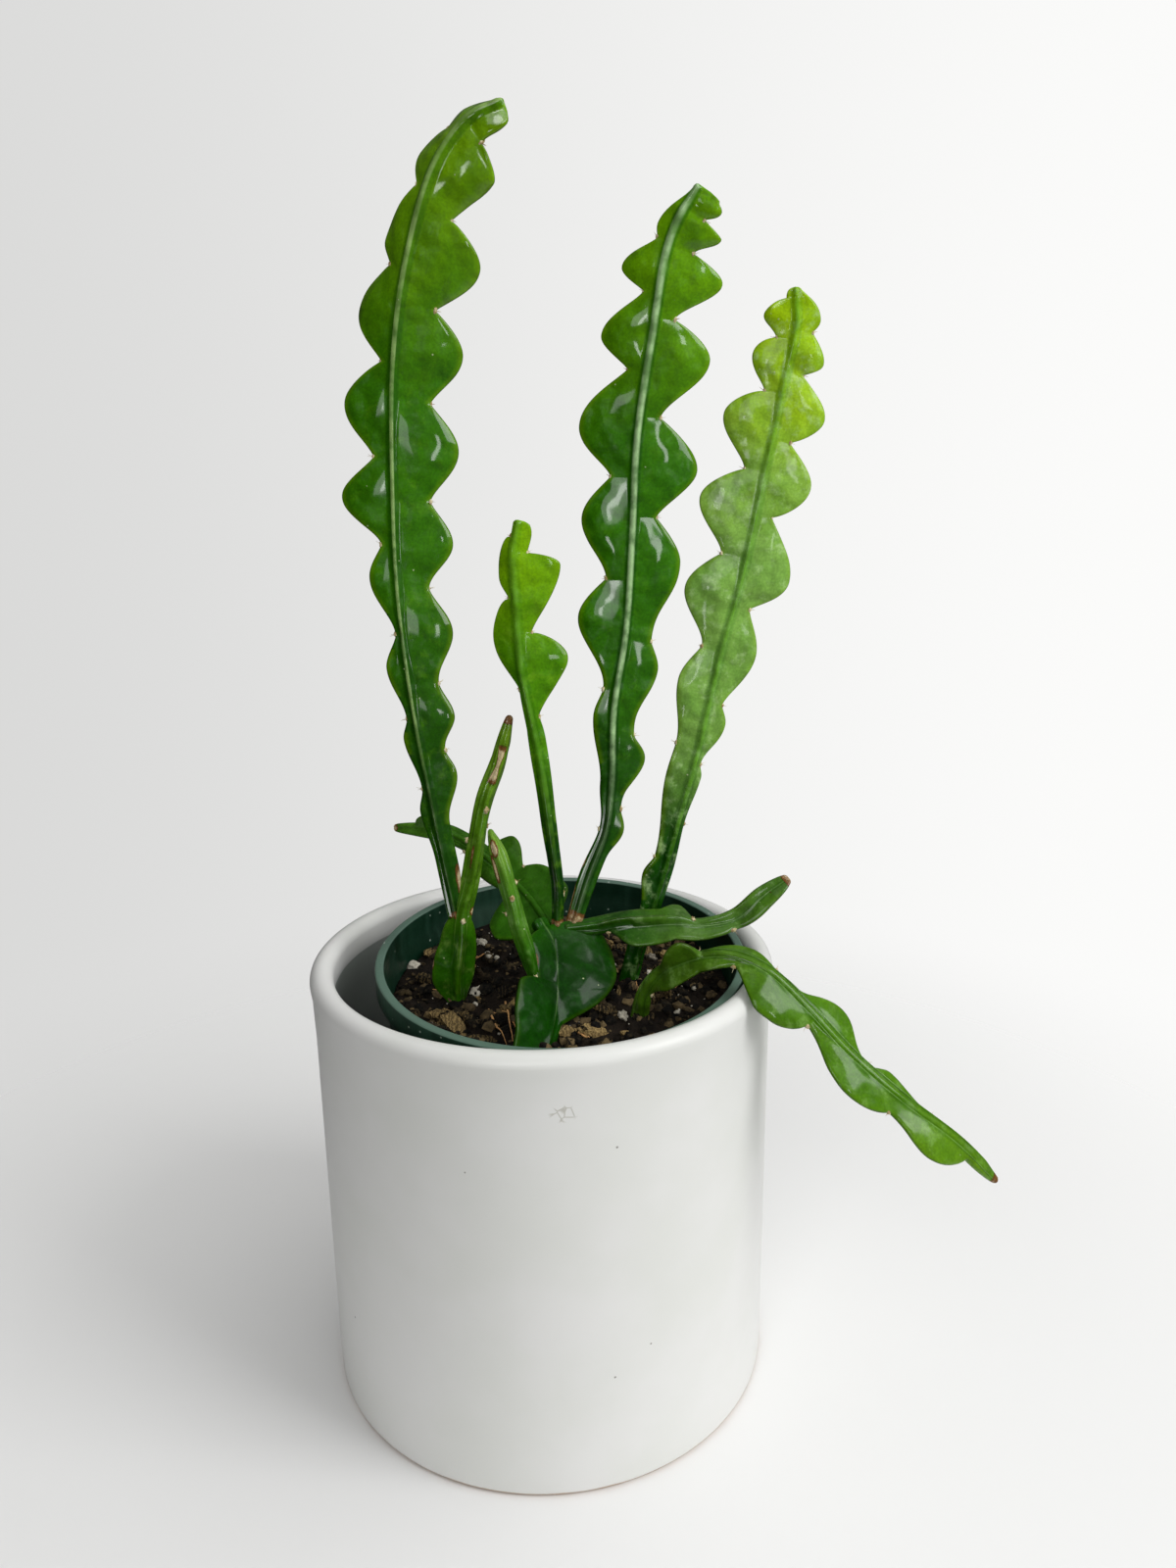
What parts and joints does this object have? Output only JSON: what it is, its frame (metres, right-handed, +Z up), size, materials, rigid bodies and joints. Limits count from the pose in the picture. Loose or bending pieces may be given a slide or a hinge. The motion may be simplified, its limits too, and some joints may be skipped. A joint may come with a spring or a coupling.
{
  "type": "potted ric rac cactus",
  "caption": "Ric rac cactus with upright and trailing zigzag stems, rooted in soil in a plastic grow pot that stands inside a plain round cover pot.",
  "frame": {"origin": "centre of the cover pot's foot, on the surface it stands on", "axes": "+Z up the cover pot's axis, -Y the front, towards the viewer, +X the viewer's right"},
  "size_m": [0.1983, 0.14, 0.3685],
  "materials": {
    "glaze": "satin white glaze",
    "plastic": "satin dark green",
    "soil": "rough potting mix",
    "stem_old": "glossy dark green skin",
    "stem_mid": "glossy green skin",
    "stem_pale": "satin pale green skin",
    "stem_young": "satin yellow-green skin"
  },
  "bodies": {
    "root": {"outer_pot": "glaze", "nursery_pot": "plastic", "soil": "soil", "tall_left_stem": "stem_mid", "old_left_stem": "stem_old", "young_middle_stem": "stem_young", "middle_stem": "stem_mid", "right_stem": "stem_pale", "leaning_stem": "stem_mid", "trailing_stem": "stem_mid", "centre_stem": "stem_old", "back_stem": "stem_old", "short_spear": "stem_mid"}
  },
  "joints": []
}
